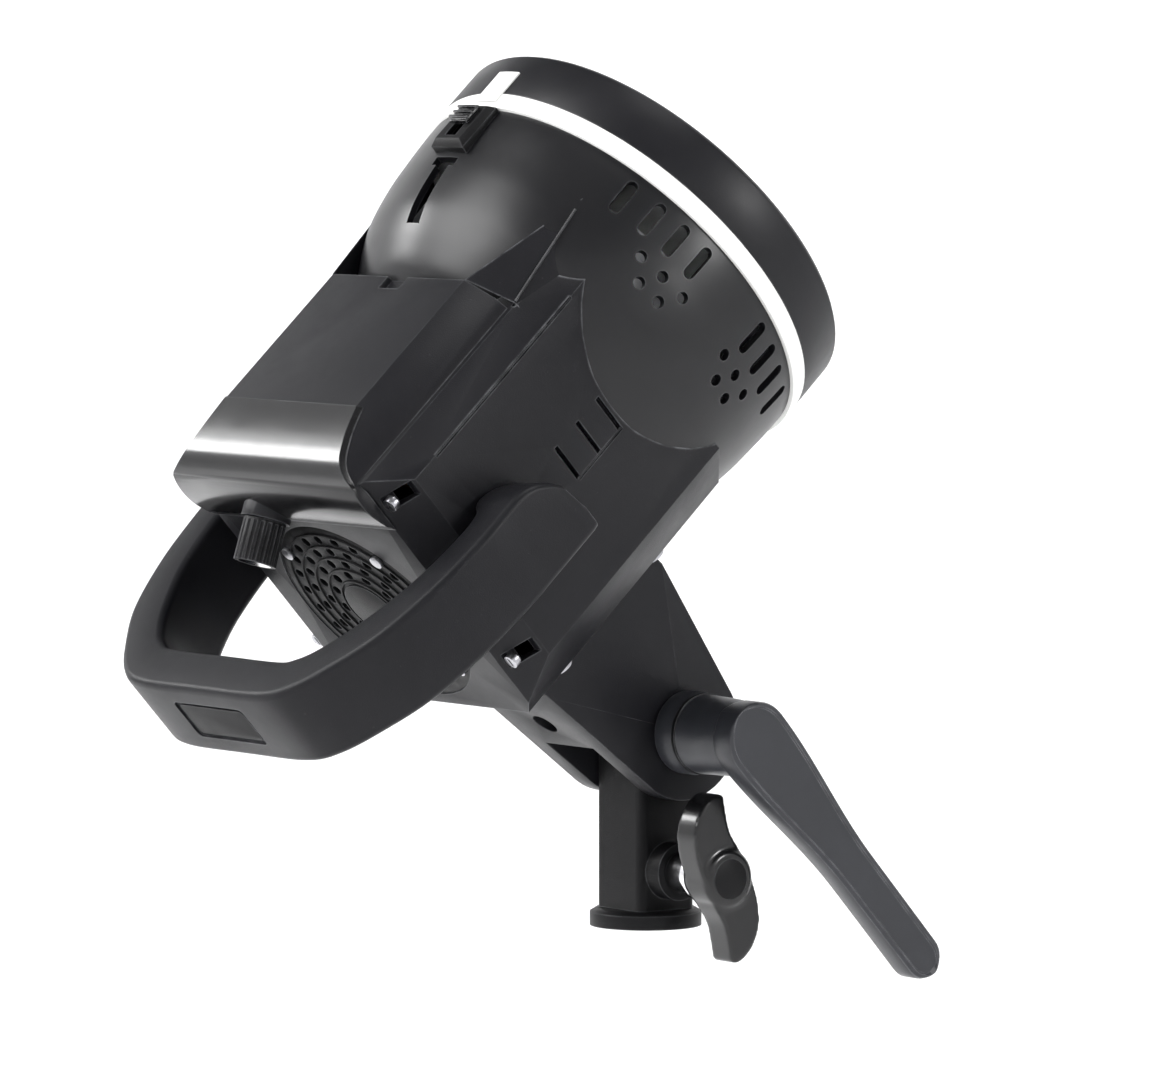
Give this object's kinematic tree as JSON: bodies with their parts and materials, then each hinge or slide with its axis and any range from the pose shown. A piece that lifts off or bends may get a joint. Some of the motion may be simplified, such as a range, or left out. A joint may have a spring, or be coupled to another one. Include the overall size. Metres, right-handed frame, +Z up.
{
  "type": "monolight strobe",
  "caption": "Studio flash head with a flared bell, bayonet ring, rear loop handle, control box, tilting fork bracket with umbrella hole, clamp lever and stand socket.",
  "frame": {"origin": "centre of the stand socket's mouth, at the receiver's lower face", "axes": "+Z up along the stand; +Y is the horizontal direction the head faces; +X is the side with the tilt lever and the clamp knob. The head is tilted up 42.5 degrees at rest, as in the picture."},
  "size_m": [0.151, 0.2436, 0.2878],
  "materials": {
    "housing_black": "fine textured",
    "bell_black": "gloss",
    "ring_black": "satin",
    "trim_white": "satin",
    "lever_grey": "satin",
    "soft_black": "matte",
    "knob_gloss": "gloss",
    "bright_steel": "polished",
    "screw_steel": "satin",
    "brass": "machined",
    "alu": "satin",
    "frosted_glass": "frosted",
    "clear_glass": "clear",
    "ceramic": "matte ceramic",
    "phosphor": "matte",
    "board": "solder mask",
    "copper_coil": "enamelled",
    "can_sleeve": "shrink sleeve",
    "display_glass": "gloss",
    "fan_black": "satin"
  },
  "bodies": {
    "stand_receiver": {"receiver": "soft_black", "receiver_insert": "brass", "tilt_washers": "screw_steel"},
    "clamp_pad": {"stand_pad": "brass"},
    "clamp_knob": {"stand_knob": "knob_gloss", "stand_sleeve": "bright_steel", "stand_screw": "screw_steel"},
    "head": {"bracket": "housing_black", "bracket_screws": "screw_steel", "tilt_bolt": "screw_steel", "main_housing": "housing_black", "top_cover": "housing_black", "rear_grille": "soft_black", "grille_screws": "screw_steel", "case_screws": "screw_steel", "bell": "bell_black", "trim_ring": "trim_white", "bayonet_ring": "ring_black", "front_plate": "alu", "glass_dome": "frosted_glass", "lamp_base": "ceramic", "flash_tube": "clear_glass", "modelling_led": "phosphor", "heat_sink": "alu", "capacitors": "can_sleeve", "driver_board": "board", "transformer": "copper_coil", "control_board": "board", "display_window": "display_glass", "fan_frame": "fan_black", "power_inlet": "soft_black", "inlet_pins": "bright_steel", "handle": "housing_black", "handle_screws": "screw_steel", "lock_housing": "soft_black", "umbrella_insert": "brass"},
    "fan": {"fan_rotor": "fan_black"},
    "dial": {"control_knob": "soft_black", "knob_cap": "display_glass"},
    "bayonet_lock": {"lock_slider": "knob_gloss", "lock_pin": "screw_steel"},
    "rocker": {"power_rocker": "knob_gloss"},
    "mode_key": {"button_mode": "lever_grey"},
    "test_key": {"button_test": "lever_grey"},
    "umbrella_tip": {"umbrella_pad": "brass"},
    "umbrella_lock": {"umbrella_knob": "knob_gloss", "umbrella_screw": "screw_steel"},
    "lever": {"tilt_lever": "lever_grey", "lever_insert": "brass"}
  },
  "joints": [
    {"name": "head_tilt", "type": "hinge", "parent": "stand_receiver", "child": "head", "pos_m": [0, 0, 0.062], "axis": [1, 0, 0], "range_deg": [-87.5, 47.5]},
    {"name": "tilt_lever_turn", "type": "hinge", "parent": "head", "child": "lever", "pos_m": [0.03, 0, 0.062], "axis": [1, 0, 0], "range_deg": [-25, 90]},
    {"name": "clamp_press", "type": "slide", "parent": "stand_receiver", "child": "clamp_pad", "axis": [1, 0, 0], "range_m": [0, 0.0025]},
    {"name": "clamp_turn", "type": "hinge", "parent": "clamp_pad", "child": "clamp_knob", "pos_m": [0.03, 0, 0.018], "axis": [1, 0, 0], "range_deg": [0, 720.5]},
    {"name": "umbrella_press", "type": "slide", "parent": "head", "child": "umbrella_tip", "axis": [-1, 0, 0], "range_m": [0, 0.002]},
    {"name": "umbrella_turn", "type": "hinge", "parent": "umbrella_tip", "child": "umbrella_lock", "pos_m": [-0.03, -0.01959, 0.08338], "axis": [-1, 0, 0], "range_deg": [0, 720.5]},
    {"name": "fan_spin", "type": "hinge", "parent": "head", "child": "fan", "pos_m": [0, -0.09478, 0.11214], "axis": [0, 0.7373, 0.6756], "continuous": true},
    {"name": "dial_turn", "type": "hinge", "parent": "head", "child": "dial", "pos_m": [-0.012, -0.13487, 0.13576], "axis": [0, -0.3007, -0.9537], "continuous": true},
    {"name": "lock_slide", "type": "slide", "parent": "head", "child": "bayonet_lock", "axis": [0, -0.7373, -0.6756], "range_m": [0, 0.005], "stiffness_N_per_m": 400, "springref_m": -0.006},
    {"name": "rocker_tip", "type": "hinge", "parent": "head", "child": "rocker", "pos_m": [-0.053, -0.07326, 0.11382], "axis": [0, -0.6756, 0.7373], "range_deg": [-14, 0]},
    {"name": "mode_press", "type": "slide", "parent": "head", "child": "mode_key", "axis": [1, 0, 0], "range_m": [0, 0.0015], "stiffness_N_per_m": 500, "springref_m": -0.001},
    {"name": "test_press", "type": "slide", "parent": "head", "child": "test_key", "axis": [1, 0, 0], "range_m": [0, 0.0015], "stiffness_N_per_m": 500, "springref_m": -0.001}
  ],
  "couplings": [
    {"joint": "clamp_turn", "follows": "clamp_press", "rad_per_m": 5026.5},
    {"joint": "umbrella_turn", "follows": "umbrella_press", "rad_per_m": 6283.2}
  ]
}
